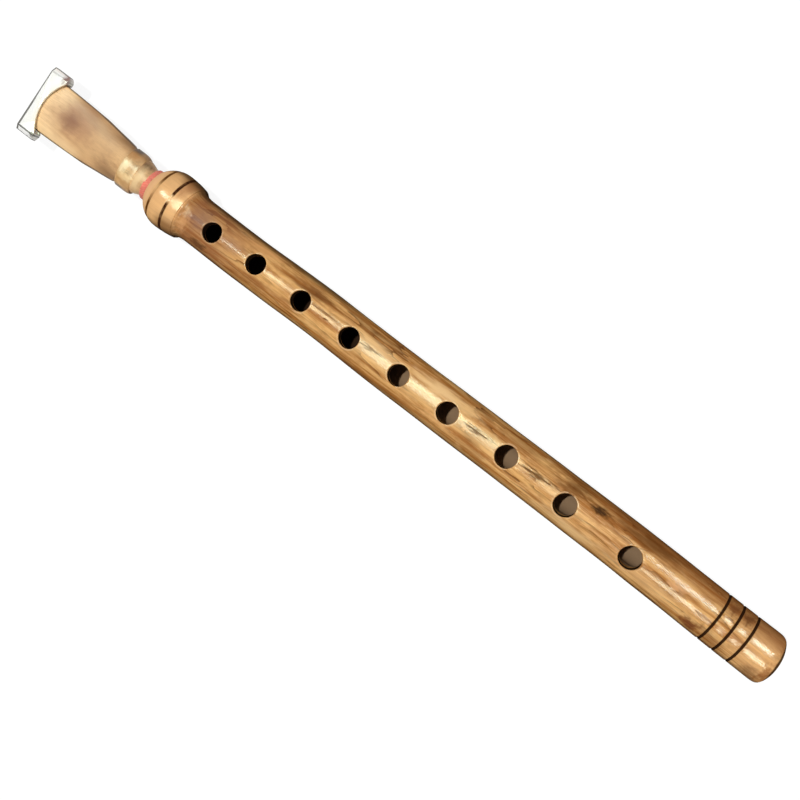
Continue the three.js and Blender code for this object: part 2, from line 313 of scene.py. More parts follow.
def keeps_row(station):
    """Rows of the even spacing give way to the rows of a window, and to the burned rings."""
    even = any(abs(station - row) < 1e-6 for row in even_rows[1:])
    near_ring = any(abs(station - ring) < 1.0 for ring in BULB_RINGS + FOOT_RINGS)
    return not near_ring and not (even and in_window(station))


outer = [(station, body_radius(station)) for station in stations if keeps_row(station)]
for ring in BULB_RINGS + FOOT_RINGS:
    worn_to = BULB_RING_WEAR if ring in BULB_RINGS else 1
    outer += [(ring + step, body_radius(ring + step) - worn_to * depth) for step, depth in GROOVE]
outer = sorted(set(outer))
outer = [a for a, b in zip(outer, outer[1:] + [(1e9, 0)]) if b[0] - a[0] > 1e-4]
inner_rows = []
for station, turn, radius in holes:
    inner_rows += spaced(station - radius - 1, station + radius + 1, 4)
inner_rows += spaced(SOCKET_DEPTH, COVE_END + 0.5, 3) + spaced(FOOT_BORE_FROM, BODY_LENGTH - 0.5, 8)
inner_rows = sorted(set(inner_rows), reverse=True)
outline = outer + FOOT_END + [(row, BORE_RADIUS) for row in inner_rows]
socket_rows = [SOCKET_DEPTH, SOCKET_DEPTH / 2, LIP_STATION + 2 * MOUTH_CHAMFER]
outline += [(row, SOCKET_RADIUS) for row in socket_rows]
outline += [(LIP_STATION, SOCKET_RADIUS + MOUTH_CHAMFER), (LIP_STATION, LIP_RADIUS - MOUTH_CHAMFER)]
print("points in the body's outline:", len(outline))

# %% Turn the body
body = draw_outline("body_turned", [spot(x, 0, r) for x, r in outline])
edit(body, whole=True)
bpy.ops.mesh.spin(steps=SIDES, angle=math.tau, center=(0, 0, AXIS_Z), axis=(1, 0, 0))
done()
outward(body)
for vertex in body.data.vertices:
    vertex.co.x -= FOOT_SKEW * vertex.co.y * ramp(station_of(vertex.co), SKEW_FROM, SKEW_TO)
report(body)

# %% [markdown]
# The finger holes are drilled by hand, so each one leans a little to one side. A clean round hole
# in a curved wall starts as a window of deleted faces. A circle is laid on the surface inside it,
# and bridging the two loops closes the gap with tidy faces. The same is done on the wall of the
# bore, and a last bridge between the two circles is the side of the hole. A bevel then rounds the
# rim, which catches the light as the lacquered rims of the real holes do.

# %% Open a window and fit a round hole into it
RIM_POINTS = 80
RIM_ROUNDING = 0.42
STEP_ANGLE = 360 / SIDES
SKIN_FROM = 9.5
BORE_TO = 5.7
MID_WALL = 8


def axis_distance(point):
    return math.hypot(point.y, point.z - AXIS_Z) / MM


def axis_angle(point):
    """Degrees round the axis from the top, positive towards +Y."""
    return math.degrees(math.atan2(point.y, point.z - AXIS_Z))


def apart(a, b):
    return abs((a - b + 180) % 360 - 180)


def is_skin(point, wall):
    distance = axis_distance(point)
    return distance > SKIN_FROM if wall == "outside" else distance < BORE_TO


def open_hole(hole, wall):
    station, turn, radius = hole
    middle = round(turn / STEP_ANGLE) * STEP_ANGLE
    reach = radius + (WINDOW_MARGIN if wall == "outside" else 1.0)
    half_angle = 10 * STEP_ANGLE if wall == "outside" else 22 * STEP_ANGLE

    def in_this_window(face):
        centre = face.calc_center_median()
        close = abs(centre.x - along(station)) < reach * MM
        return close and is_skin(centre, wall) and apart(axis_angle(centre), middle) < half_angle

    select(body, "faces", in_this_window)
    bpy.ops.mesh.delete(type="FACE")
    bpy.ops.mesh.select_mode(type="VERT")
    bpy.ops.mesh.primitive_circle_add(vertices=RIM_POINTS, radius=radius * MM)
    mesh = bmesh.from_edit_mesh(body.data)
    lean = math.radians(turn)
    for vertex in [item for item in mesh.verts if item.select]:
        angle = math.atan2(vertex.co.y, vertex.co.x)
        x = station + radius * math.cos(angle)
        side = radius * math.sin(angle)
        surface = body_radius(x) if wall == "outside" else BORE_RADIUS
        rise = math.sqrt(surface**2 - side**2)
        across = side * math.cos(lean) + rise * math.sin(lean)
        vertex.co = spot(x, across, rise * math.cos(lean) - side * math.sin(lean))
    bmesh.update_edit_mesh(body.data)
    select(body, "edges", lambda edge: is_open(edge) and is_skin(edge.verts[0].co, wall)
           and is_skin(edge.verts[1].co, wall) and not on_finished_rim(edge, hole))
    bpy.ops.mesh.bridge_edge_loops(number_cuts=3 if wall == "outside" else 2, interpolation="LINEAR")


def on_finished_rim(edge, hole):
    """An open edge that belongs to another hole of the same wall."""
    middle = (edge.verts[0].co + edge.verts[1].co) / 2
    station, turn, radius = hole
    far = abs(middle.x - along(station)) > (radius + WINDOW_MARGIN + 0.05) * MM
    return far or apart(axis_angle(middle), turn) > 100


edit(body)
for wall in ("outside", "bore"):
    for hole in holes:
        open_hole(hole, wall)
done()
report(body)

# %% Round the new faces onto the body, then join rim to bore
for vertex in body.data.vertices:
    station = station_of(vertex.co)
    distance = axis_distance(vertex.co)
    if COVE_END + 0.5 < station < EVEN_END:
        target = body_radius(station) if distance > MID_WALL else BORE_RADIUS
        vertex.co.y *= target / distance
        vertex.co.z = AXIS_Z + (vertex.co.z - AXIS_Z) * target / distance

edit(body)
for station, turn, radius in holes:
    select(body, "edges", lambda edge: is_open(edge)
           and abs(edge.verts[0].co.x - along(station)) < (radius + 0.2) * MM)
    bpy.ops.mesh.bridge_edge_loops(number_cuts=6, interpolation="LINEAR")
print("open edges left on the body:", select(body, "edges", is_open))


def on_rim(edge):
    """An edge whose two ends lie on the round rim of a hole, level with the tube's surface."""
    for station, turn, radius in holes:
        lean = math.radians(turn)
        hits = 0
        for vertex in edge.verts:
            side = (vertex.co.y * math.cos(lean) - (vertex.co.z - AXIS_Z) * math.sin(lean)) / MM
            distance = math.hypot((vertex.co.x - along(station)) / MM, side)
            above = vertex.co.y * math.sin(lean) + (vertex.co.z - AXIS_Z) * math.cos(lean) > 0
            hits += abs(distance - radius) < 0.01 and axis_distance(vertex.co) > SKIN_FROM and above
        level = all(abs(axis_distance(vertex.co) - body_radius(station_of(vertex.co))) < 0.01
                    for vertex in edge.verts)
        if hits == 2 and level:
            return True
    return False


print("rim edges to bevel:", select(body, "edges", on_rim))
bpy.ops.mesh.bevel(offset=RIM_ROUNDING * MM, segments=3, affect="EDGES", clamp_overlap=False)
done()
outward(body)
report(body)

# %% [markdown]
# No hand-finished tube is perfectly even. A faint, slow unevenness is pressed into the tube with
# a Displace modifier and a cloud texture, so that reflections wander a little, as in real lacquer.

# %% A hand-finished surface
UNEVEN_DEPTH = 0.3
UNEVEN_LENGTH = 28
UNEVEN_FROM, UNEVEN_FULL = 26, 38
tube_group = body.vertex_groups.new(name="tube")
for vertex in body.data.vertices:
    if axis_distance(vertex.co) > SKIN_FROM:
        ease = ramp(station_of(vertex.co), UNEVEN_FROM, UNEVEN_FULL)
        tube_group.add([vertex.index], ease, "REPLACE")
clouds = bpy.data.textures.new("slow unevenness", "CLOUDS")
clouds.noise_scale = UNEVEN_LENGTH * MM
apply(body, "DISPLACE", texture=clouds, strength=UNEVEN_DEPTH * MM, mid_level=0.5,
      vertex_group="tube", texture_coords="LOCAL")
smooth(body, 40)

# %% [markdown]
# The reed is a piece of cane, round at its tail and pressed flat towards its tip. It grows from
# one circle: each further ring is an extrusion, scaled to the width and the thickness that the
# cane has there. The rings run up the outside to the tip and back down the inside, so the reed
# is a real hollow tube with two thin lips.

# %% Sizes of the reed
REED_LENGTH = 87
REED_INSERTION = 14
TIP_HALF_WIDTH = 13.3
TAIL_RADIUS = 7.2
REED_SIDES = 72
REED_RINGS = 72
TAIL_LENGTH = 16.9
WALL_AT_TAIL = 1.5
WALL_AT_TIP = 0.62
LIP_REACH = 0.12
LIP_ROUNDING = 0.3
BLADE_SECTIONS = [
    (0.018, 0.583, 0.985), (0.044, 0.632, 0.951), (0.073, 0.672, 0.893), (0.115, 0.684, 0.858),
    (0.198, 0.698, 0.833), (0.215, 0.742, 0.782), (0.244, 0.771, 0.724), (0.301, 0.808, 0.618),
    (0.387, 0.857, 0.507), (0.479, 0.913, 0.41), (0.572, 0.936, 0.347), (0.672, 0.959, 0.299),
    (0.829, 0.985, 0.242), (1, 1, 0.188),
]
REED_SECTIONS = [(0, TAIL_RADIUS, TAIL_RADIUS), (TAIL_LENGTH, TAIL_RADIUS, TAIL_RADIUS)] + [
    (TAIL_LENGTH + place * (REED_LENGTH - TAIL_LENGTH), width * TIP_HALF_WIDTH, thickness * TAIL_RADIUS)
    for place, width, thickness in BLADE_SECTIONS
]


def smooth_between(rows, place):
    """Follows the rows of (place, width, thickness) along a smooth curve."""
    for i in range(len(rows) - 1):
        if rows[i][0] <= place <= rows[i + 1][0]:
            break
    before, a, b, after = rows[max(i - 1, 0)], rows[i], rows[i + 1], rows[min(i + 2, len(rows) - 1)]
    span = b[0] - a[0]
    t = (place - a[0]) / span
    found = []
    for k in (1, 2):
        slope_a = (b[k] - before[k]) / max(b[0] - before[0], 1e-9) * span
        slope_b = (after[k] - a[k]) / max(after[0] - a[0], 1e-9) * span
        found.append((2 * t**3 - 3 * t**2 + 1) * a[k] + (t**3 - 2 * t**2 + t) * slope_a
                     + (3 * t**2 - 2 * t**3) * b[k] + (t**3 - t**2) * slope_b)
    return found


# %% Grow the reed ring by ring


def circle(sides, radius, rotation):
    """A circle round the scene's origin, with its turn set into its mesh."""
    bpy.ops.object.select_all(action="DESELECT")
    bpy.ops.mesh.primitive_circle_add(vertices=sides, radius=radius, location=(0, 0, 0),
                                      rotation=rotation)
    piece = pick(bpy.context.object)
    bpy.ops.object.transform_apply(location=True, rotation=True, scale=True)
    return piece


outside_rings = []
inside_rings = []
for i, place in enumerate(spaced(0, 1, REED_RINGS)):
    half_width, half_thickness = smooth_between(REED_SECTIONS, place * REED_LENGTH)
    wall_now = WALL_AT_TAIL + (WALL_AT_TIP - WALL_AT_TAIL) * place
    station = REED_INSERTION - place * REED_LENGTH
    outside_rings.append((station, half_width, half_thickness))
    if i % 3 == 0:
        inside_rings.append((station, half_width - wall_now, half_thickness - wall_now))
tip = outside_rings[-1]
lip = (tip[0] - LIP_REACH, tip[1] - LIP_ROUNDING, tip[2] - LIP_ROUNDING)
rings = outside_rings + [lip] + inside_rings[::-1]
reed = circle(REED_SIDES, 1, (0, math.pi / 2, 0))
reed.name = "reed_cane_tube"
edit(reed, whole=True)
first = rings[0]
bpy.ops.transform.resize(value=(1, first[1] * MM, first[2] * MM), center_override=(0, 0, 0))
bpy.ops.transform.translate(value=(along(first[0]), 0, AXIS_Z))
for (old_x, old_width, old_thickness), (x, width, thickness) in zip(rings, rings[1:]):
    bpy.ops.mesh.extrude_edges_move(TRANSFORM_OT_translate={"value": ((x - old_x) * MM, 0, 0)})
    bpy.ops.transform.resize(value=(1, width / old_width, thickness / old_thickness),
                             center_override=(along(x), 0, AXIS_Z))
select(reed, "edges", is_open)
bpy.ops.mesh.bridge_edge_loops()
done()
outward(reed)
smooth(reed, 50)

# %% [markdown]
# The winding on the reed's tail is one long thread in two layers. Its start is a small circle,
# which a Screw modifier winds round the bore's axis, turn by turn.

# %% Wind the thread
THREAD_RADIUS = 0.26
THREAD_PITCH = 0.53
WINDING_START = -1.5
WINDING_END = 12.9
THREAD_SIDES = 8
STEPS_IN_A_TURN = 40
FIRST_LAYER = TAIL_RADIUS + THREAD_RADIUS + 0.02
SECOND_LAYER = TAIL_RADIUS + 3 * THREAD_RADIUS - 0.04
turns = int((WINDING_END - WINDING_START) / THREAD_PITCH)
layers = []
for layer, centre in enumerate((FIRST_LAYER, SECOND_LAYER)):
    coil = circle(THREAD_SIDES, THREAD_RADIUS * MM, (math.pi / 2, 0, 0))
    edit(coil, whole=True)
    start = WINDING_START + layer * THREAD_PITCH / 2
    bpy.ops.transform.translate(value=(along(start), 0, centre * MM))
    done()
    wound = turns - layer
    apply(coil, "SCREW", axis="X", angle=math.tau * wound, steps=STEPS_IN_A_TURN * wound,
          render_steps=STEPS_IN_A_TURN * wound, screw_offset=THREAD_PITCH * wound * MM,
          use_normal_calculate=True)
    layers.append(coil)
bpy.ops.object.select_all(action="DESELECT")
for coil in layers:
    coil.select_set(True)
bpy.context.view_layer.objects.active = layers[0]
bpy.ops.object.join()
winding = bpy.context.object
winding.name = "winding_thread"
edit(winding, whole=True)
bpy.ops.transform.translate(value=(0, 0, AXIS_Z))
select(winding, "edges", is_open)
bpy.ops.mesh.edge_face_add()
done()
outward(winding)
pick(winding)
bpy.ops.object.shade_smooth()
report(winding)

# %% [markdown]
# The bridle is a strip of split cane that was soaked, bent round the reed and tied down to dry.
# It follows the reed's oval section for one turn and a short lap more, so its outline is a spiral
# that is a strip's thickness wider where the end lies over the beginning. Cane bends in small
# flats, not in one even curve, and the outline keeps them.

# %% Bend the bridle
BRIDLE_TIP_EDGE = -16.4
BRIDLE_WIDTH = 8.6
BRIDLE_HALF_WIDTH = 9.45
BRIDLE_HALF_HEIGHT = 6.42
STRIP = 0.5
LAP_START = 185
LAP_ANGLE = 48
LAP_GAP = 0.04
LAP_RISE = 30
FLATS = 9
FLAT_DEPTH = 0.09
FLAT_PHASE = 0.6
REAR_CORNER_IN = 0.45
REAR_SCRAPED = 0.05
strip_points = []
for step in range(0, 360 + LAP_ANGLE + 1, 4):
    angle = math.radians(LAP_START + step)
    lap = ramp(step, 360 - LAP_RISE, 360)
    lift = (STRIP + LAP_GAP) * lap * lap * (3 - 2 * lap)
    flat = FLAT_DEPTH * math.cos(FLATS * angle + FLAT_PHASE) * (1 - lap)
    strip_points.append((
        (BRIDLE_HALF_WIDTH + lift + flat) * math.cos(angle),
        (BRIDLE_HALF_HEIGHT + lift + flat) * math.sin(angle),
    ))
bridle = draw_outline("bridle_cane", [spot(BRIDLE_TIP_EDGE, y, z) for y, z in strip_points], closed=False)
edit(bridle, whole=True)
BRIDLE_PARTS = 6
for part in range(BRIDLE_PARTS):
    forward = (BRIDLE_WIDTH / BRIDLE_PARTS * MM, 0, 0)
    bpy.ops.mesh.extrude_edges_move(TRANSFORM_OT_translate={"value": forward})
done()
outward(bridle)
edit(bridle, whole=True)
mesh = bmesh.from_edit_mesh(bridle.data)
mesh.faces.ensure_lookup_table()
face = mesh.faces[0]
centre = face.calc_center_median()
if face.normal.dot(Vector((0, centre.y, centre.z - AXIS_Z))) < 0:
    bpy.ops.mesh.flip_normals()
done()
apply(bridle, "SOLIDIFY", thickness=STRIP * MM, offset=1.0, use_even_offset=True)
# The far rear corner is drawn in, and the rear edge is scraped down to the reed.
for vertex in bridle.data.vertices:
    rear = ramp(station_of(vertex.co), -12.5, -8.0)
    aside = ramp(vertex.co.y / MM, 3, 9)
    vertex.co.y -= REAR_CORNER_IN * MM * rear * rear * aside
    thinned = 1 - REAR_SCRAPED * ramp(station_of(vertex.co), -9.6, -8.0)
    vertex.co.y *= thinned
    vertex.co.z = AXIS_Z + (vertex.co.z - AXIS_Z) * thinned
apply(bridle, "BEVEL", width=0.2 * MM, segments=3, limit_method="ANGLE", angle_limit=math.radians(50))
smooth(bridle, 35)

# %% [markdown]
# The cap is a moulded block. A box is bevelled at its two ends, a round notch is cut into its
# back, and a wedge cuts the slot that the reed's flat tip fits into. A fine bevel then breaks
# every edge, because moulded plastic is never quite sharp.

# %% Shape the cap
CAP_TIP = -74.1
CAP_DEPTH = 9.9
CAP_HALF_LENGTH = 17.6
CAP_HALF_HEIGHT = 3.09
CAP_FLAT_HALF = 15.2
NOTCH_HALF = 13.9
NOTCH_DEPTH = 5.0
SLOT_BACK = 1.94
SLOT_FRONT = 1.65
END_BEVEL = 1.5
CORNER_BEVEL = 1.6
ARRIS = 0.22
OVERRUN = 2
CAP_ASIDE = 0.45


def box_piece(name, low, high):
    bpy.ops.object.select_all(action="DESELECT")
    bpy.ops.mesh.primitive_cube_add(size=1, location=(low + high) / 2)
    piece = bpy.context.object
    piece.name = name
    piece.scale = high - low
    pick(piece)
    bpy.ops.object.transform_apply(location=True, rotation=True, scale=True)
    return piece


cap = box_piece("cap_ivory", spot(CAP_TIP, -CAP_HALF_LENGTH, -CAP_HALF_HEIGHT),
                spot(CAP_TIP + CAP_DEPTH, CAP_HALF_LENGTH, CAP_HALF_HEIGHT))
edit(cap)
select(cap, "edges", lambda edge: abs(edge.verts[0].co.x - edge.verts[1].co.x) > MM)
bpy.ops.mesh.bevel(offset=END_BEVEL * MM, segments=1, affect="EDGES", clamp_overlap=False)
for side in (-1, 1):
    select(cap, "verts", lambda vertex: abs(vertex.co.z - AXIS_Z) > 3 * MM and vertex.co.y * side > 15 * MM)
    bpy.ops.transform.translate(value=(0, side * (CAP_FLAT_HALF - CAP_HALF_LENGTH + END_BEVEL) * MM, 0))
# Only the far rear corner is rounded.
select(cap, "edges", lambda edge: abs(edge.verts[0].co.z - edge.verts[1].co.z) > 3 * MM
       and edge.verts[0].co.x > along(CAP_TIP + 5) and edge.verts[0].co.y > 17 * MM)
bpy.ops.mesh.bevel(offset=CORNER_BEVEL * MM, segments=5, affect="EDGES", clamp_overlap=False)
done()
NOTCH_RADIUS = (NOTCH_HALF**2 + NOTCH_DEPTH**2) / (2 * NOTCH_DEPTH)
NOTCH_CENTRE = CAP_TIP + CAP_DEPTH - NOTCH_DEPTH + NOTCH_RADIUS
bpy.ops.mesh.primitive_cylinder_add(
    vertices=160, radius=NOTCH_RADIUS * MM, depth=20 * MM, location=spot(NOTCH_CENTRE, 0, 0))
notch = bpy.context.object
slot = box_piece("slot", spot(CAP_TIP - OVERRUN, -NOTCH_HALF, -SLOT_FRONT),
                 spot(CAP_TIP + CAP_DEPTH + OVERRUN, NOTCH_HALF, SLOT_FRONT))
edit(slot)
select(slot, "faces", lambda face: face.normal.x > 0.9)
bpy.ops.transform.resize(value=(1, 1, SLOT_BACK / SLOT_FRONT),
                         center_override=spot(CAP_TIP + CAP_DEPTH + OVERRUN, 0, 0))
done()
for cutter in (notch, slot):
    apply(cap, "BOOLEAN", object=cutter, solver="EXACT", operation="DIFFERENCE")
    bpy.data.objects.remove(cutter)
apply(cap, "BEVEL", width=ARRIS * MM, segments=3, limit_method="ANGLE", angle_limit=math.radians(28))
outward(cap)
smooth(cap, 30)

# %% [markdown]
# The cap has half a millimetre of play on the reed and sits pushed to one side. Then the lattice
# bends all five pieces at once, so they keep their fit.

# %% Push the cap aside and bend the whole
edit(cap, whole=True)
bpy.ops.transform.translate(value=(0, -CAP_ASIDE * MM, 0))
done()
bpy.ops.object.add(type="LATTICE", location=(along((BEND_FROM + BEND_TO) / 2), 0, AXIS_Z))
lattice = bpy.context.object
lattice.data.points_u = len(BEND)
lattice.data.points_v = 2
lattice.data.points_w = 2
lattice.data.interpolation_type_u = "KEY_CARDINAL"
LATTICE_WIDTH = 50
lattice.scale = ((BEND_TO - BEND_FROM) * MM, LATTICE_WIDTH * MM, LATTICE_WIDTH * MM)
bpy.context.view_layer.update()
for i, point in enumerate(lattice.data.points):
    point.co_deform.y += BEND[i % len(BEND)] / LATTICE_WIDTH
for piece in (body, reed, winding, bridle, cap):
    apply(piece, "LATTICE", object=lattice)
    report(piece)
bpy.data.objects.remove(lattice)

# %% [markdown]
# ## Finishes
#
# All finishes are worked out from the place of each point on the piece, so nothing has to be
# unwrapped and nothing slides when a piece moves. Short helpers add a node and wire it up. A socket
# knows the node tree that it belongs to, so most of them need no more than their sockets.

# %% Helpers for shader nodes
PER_METRE = (1000, 1000, 1000)


def is_socket(value):
    return isinstance(value, bpy.types.NodeSocket)


def node(tree, kind, inputs=None, **settings):
    made = tree.nodes.new("ShaderNode" + kind)
    for name, value in settings.items():
        setattr(made, name, value)
    for name, value in (inputs or {}).items():
        if is_socket(value):
            tree.links.new(value, made.inputs[name])
        else:
            made.inputs[name].default_value = value
    return made


def maths(operation, *values):
    tree = next(value.id_data for value in values if is_socket(value))
    return node(tree, "Math", dict(enumerate(values)), operation=operation).outputs[0]


def chain(operation, first, *others):
    for value in others:
        first = maths(operation, first, value)
    return first


def times(*masks):
    return chain("MULTIPLY", *masks)


def most(*masks):
    return chain("MAXIMUM", *masks)


def vector_maths(operation, a, b):
    return node(a.id_data, "VectorMath", {0: a, 1: b}, operation=operation).outputs[0]


def hypot(a, b):
    """The length of the slope over two legs."""
    slope = node(a.id_data, "CombineXYZ", {0: a, 1: b}).outputs[0]
    return node(a.id_data, "VectorMath", {0: slope}, operation="LENGTH").outputs["Value"]


def off(value, centre):
    """How far a value is from a centre, to either side."""
    return maths("ABSOLUTE", maths("SUBTRACT", value, centre))


def levels(value, low, high):
    """Stretches a mask so that low becomes 0 and high becomes 1."""
    return node(value.id_data, "MapRange", {"Value": value, "From Min": low, "From Max": high},
                interpolation_type="SMOOTHSTEP").outputs[0]


def between(value, low, full, fading, gone):
    """A mask that comes up from low to full, and goes down from fading to gone."""
    return times(levels(value, low, full), levels(value, gone, fading))


def weaker(mask, loss):
    """1 where the mask is 0, and less by the loss where the mask is 1."""
    return maths("MULTIPLY_ADD", mask, -loss, 1)


def srgb(red, green, blue):
    """A colour as a painter reads it off a chart, turned into the light values Blender mixes."""
    return (*(((c / 255 + 0.055) / 1.055) ** 2.4 if c > 10 else c / 255 / 12.92
              for c in (red, green, blue)), 1)


def blend(share, a, b):
    return node(share.id_data, "Mix", {0: share, 6: a, 7: b}, data_type="RGBA").outputs[2]


def layered(base, *layers):
    """Lays tints over a colour, one after the other: each has a mask, a strength and a tint."""
    for mask, strength, tint in layers:
        base = blend(times(mask, strength), base, srgb(*tint))
    return base


def noise(tree, scale, detail):
    place = node(tree, "TexCoord").outputs["Object"]
    return node(tree, "TexNoise", {"Vector": place, "Scale": scale, "Detail": detail}).outputs[0]


def bumped(height, strength, depth):
    made = node(height.id_data, "Bump", {"Height": height, "Strength": strength, "Distance": depth})
    return made.outputs[0]


def new_group(name, inputs, outputs):
    group = bpy.data.node_groups.new(name, "ShaderNodeTree")
    for label, kind, value in inputs:
        made = group.interface.new_socket(label, in_out="INPUT", socket_type="NodeSocket" + kind)
        made.default_value = value
    for label in outputs:
        group.interface.new_socket(label, in_out="OUTPUT", socket_type="NodeSocketFloat")
    return group, group.nodes.new("NodeGroupInput").outputs, group.nodes.new("NodeGroupOutput").inputs


# %% [markdown]
# Wood and cane share one effect: grain that runs lengthwise. The group stretches noise along the
# bore to get broad streaks and fine fibres, and cuts a set of wavy growth rings, whose centre
# lies outside the piece, to get the lines of the sawn board.

# %% Group: lengthwise grain
HEART_ASIDE, HEART_BELOW = 34, 22
grain_group, given, found = new_group(
    "lengthwise grain",
    [("Streak Width", "Float", 4), ("Streak Length", "Float", 70), ("Fibre Width", "Float", 0.45),
     ("Ring Width", "Float", 2.6), ("Wander", "Float", 2), ("Seed", "Float", 0)],
    ["Streaks", "Fibres", "Rings", "Mottle"],
)
in_mm = vector_maths("MULTIPLY", node(grain_group, "TexCoord").outputs["Object"], PER_METRE)
parts = node(grain_group, "SeparateXYZ", {0: in_mm}).outputs
shift = maths("MULTIPLY", given["Seed"], 17.3)


def stretched_noise(width, length, detail, roughness, offset):
    x = maths("DIVIDE", parts[0], length)
    y = maths("ADD", maths("ADD", maths("DIVIDE", parts[1], width), shift), offset)
    z = maths("DIVIDE", parts[2], width)
    vector = node(grain_group, "CombineXYZ", {0: x, 1: y, 2: z}).outputs[0]
    return node(grain_group, "TexNoise", {"Vector": vector, "Scale": 1, "Detail": detail,
                                          "Roughness": roughness}).outputs[0]


fibre_length = maths("MULTIPLY", given["Fibre Width"], 20)
wave = stretched_noise(9, 38, 3, 0.5, 21)
wander = times(maths("SUBTRACT", wave, 0.5), maths("MULTIPLY", given["Wander"], 6))
from_heart = hypot(maths("ADD", parts[1], HEART_ASIDE), maths("ADD", parts[2], HEART_BELOW))
ring_place = maths("DIVIDE", maths("ADD", from_heart, wander), given["Ring Width"])
faint = levels(stretched_noise(5, 22, 3, 0.55, 47), 0.36, 0.62)
for label, value in (
    ("Streaks", stretched_noise(given["Streak Width"], given["Streak Length"], 6, 0.62, 3)),
    ("Fibres", stretched_noise(given["Fibre Width"], fibre_length, 3, 0.6, 9)),
    ("Rings", times(maths("POWER", maths("FRACT", ring_place), 4.5), faint)),
    ("Mottle", stretched_noise(3.4, 9, 4, 0.6, 31)),
):
    grain_group.links.new(value, found[label])
print("grain group nodes:", len(grain_group.nodes))


def lengthwise_grain(tree, streak_width, streak_length, fibre_width, ring_width, wander, seed):
    return node(tree, "Group", {
        "Streak Width": streak_width, "Streak Length": streak_length, "Fibre Width": fibre_width,
        "Ring Width": ring_width, "Wander": wander, "Seed": seed}, node_tree=grain_group).outputs


# %% [markdown]
# Knots, stains and burned spots lie at one place and fade out round it. This group gives a mask
# for such a mark from its place, its length along the bore and its width, with a ragged edge.

# %% Group: one mark
mark_group, given, found = new_group(
    "mark",
    [("Place", "Vector", (0, 0, 0)), ("Length", "Float", 10), ("Width", "Float", 4),
     ("Ragged", "Float", 0.3)],
    ["Mask"],
)
away = vector_maths("SUBTRACT", node(mark_group, "TexCoord").outputs["Object"], given["Place"])
parts = node(mark_group, "SeparateXYZ", {0: vector_maths("MULTIPLY", away, PER_METRE)}).outputs
scaled = node(mark_group, "CombineXYZ", {
    0: maths("DIVIDE", parts[0], given["Length"]),
    1: maths("DIVIDE", parts[1], given["Width"]),
    2: maths("DIVIDE", parts[2], given["Width"]),
}).outputs[0]
distance = node(mark_group, "VectorMath", {0: scaled}, operation="LENGTH").outputs["Value"]
crumbs = node(mark_group, "TexNoise", {"Vector": scaled, "Scale": 2.2, "Detail": 4}).outputs[0]
uneven = times(maths("SUBTRACT", crumbs, 0.5), maths("MULTIPLY", given["Ragged"], 4))
mark_group.links.new(levels(maths("ADD", distance, uneven), 1.15, 0.1), found["Mask"])


def marked(colour, marks):
    """Each mark has station, degrees from the top, radius, length, width, raggedness, strength, tint."""
    for station, angle, radius, length, width, ragged, strength, tint in marks:
        lean = math.radians(angle)
        where = spot(station, radius * math.sin(lean), radius * math.cos(lean))
        sizes = {"Place": where, "Length": length, "Width": width, "Ragged": ragged}
        mask = node(colour.id_data, "Group", sizes, node_tree=mark_group).outputs["Mask"]
        colour = layered(colour, (mask, strength, tint))
    return colour


# %% [markdown]
# A finish is a material with one Principled shader. The values that are the same all over are
# written straight on the shader, and what changes over the surface is wired to it at the end.

# %% Helpers for finishes


def finish(name, **values):
    material = bpy.data.materials.new(name)
    material.use_nodes = True
    shader = material.node_tree.nodes["Principled BSDF"]
    for label, value in values.items():
        shader.inputs[label.replace("_", " ")].default_value = value
    return material, material.node_tree, shader


def dress(piece, material, **sockets):
    tree = material.node_tree
    for label, value in sockets.items():
        tree.links.new(value, tree.nodes["Principled BSDF"].inputs[label.replace("_", " ")])
    piece.data.materials.clear()
    piece.data.materials.append(material)
    for face in piece.data.polygons:
        face.material_index = 0


def object_parts(tree):
    """The place of a point as station, across and up, in millimetres from mouth and axis."""
    place = node(tree, "TexCoord").outputs["Object"]
    moved = vector_maths("SUBTRACT", place, (MOUTH_X, 0, AXIS_Z))
    return node(tree, "SeparateXYZ", {0: vector_maths("MULTIPLY", moved, PER_METRE)}).outputs


# %% [markdown]
# The body is fruitwood under clear lacquer: honey tan with long darker streaks, a few knots and
# smoky patches, paler at the bulb and at the foot. The tints are laid over each other as a
# restorer tones a repair, from the broad grain to the smallest knot.

# %% Finish: the fruitwood's grain and tones
wood, tree, shader = finish("lacquered fruitwood", Roughness=0.5, Coat_Roughness=0.2, Coat_IOR=1.4,
                            Specular_IOR_Level=0)
grain = lengthwise_grain(tree, 2.6, 52, 0.45, 2.8, 2, 1)
station, across, up = object_parts(tree)
base = blend(levels(grain["Streaks"], 0.36, 0.62), srgb(238, 184, 112), srgb(180, 116, 54))
foot_end = times(levels(station, 322, 342), 0.5)
base = layered(
    base,
    (levels(grain["Mottle"], 0.46, 0.68), 0.42, (164, 102, 48)),
    (levels(grain["Mottle"], 0.44, 0.3), 0.4, (244, 196, 132)),
    (grain["Rings"], 0.85, (98, 54, 24)),
    (levels(grain["Fibres"], 0.5, 0.68), 0.22, (136, 82, 38)),
    (levels(grain["Fibres"], 0.46, 0.3), 0.26, (252, 208, 138)),
    (most(levels(station, 25.5, 21.5), foot_end), 0.8, (250, 196, 134)),
    (levels(station, 8, 5), 0.9, (255, 202, 148)),
)
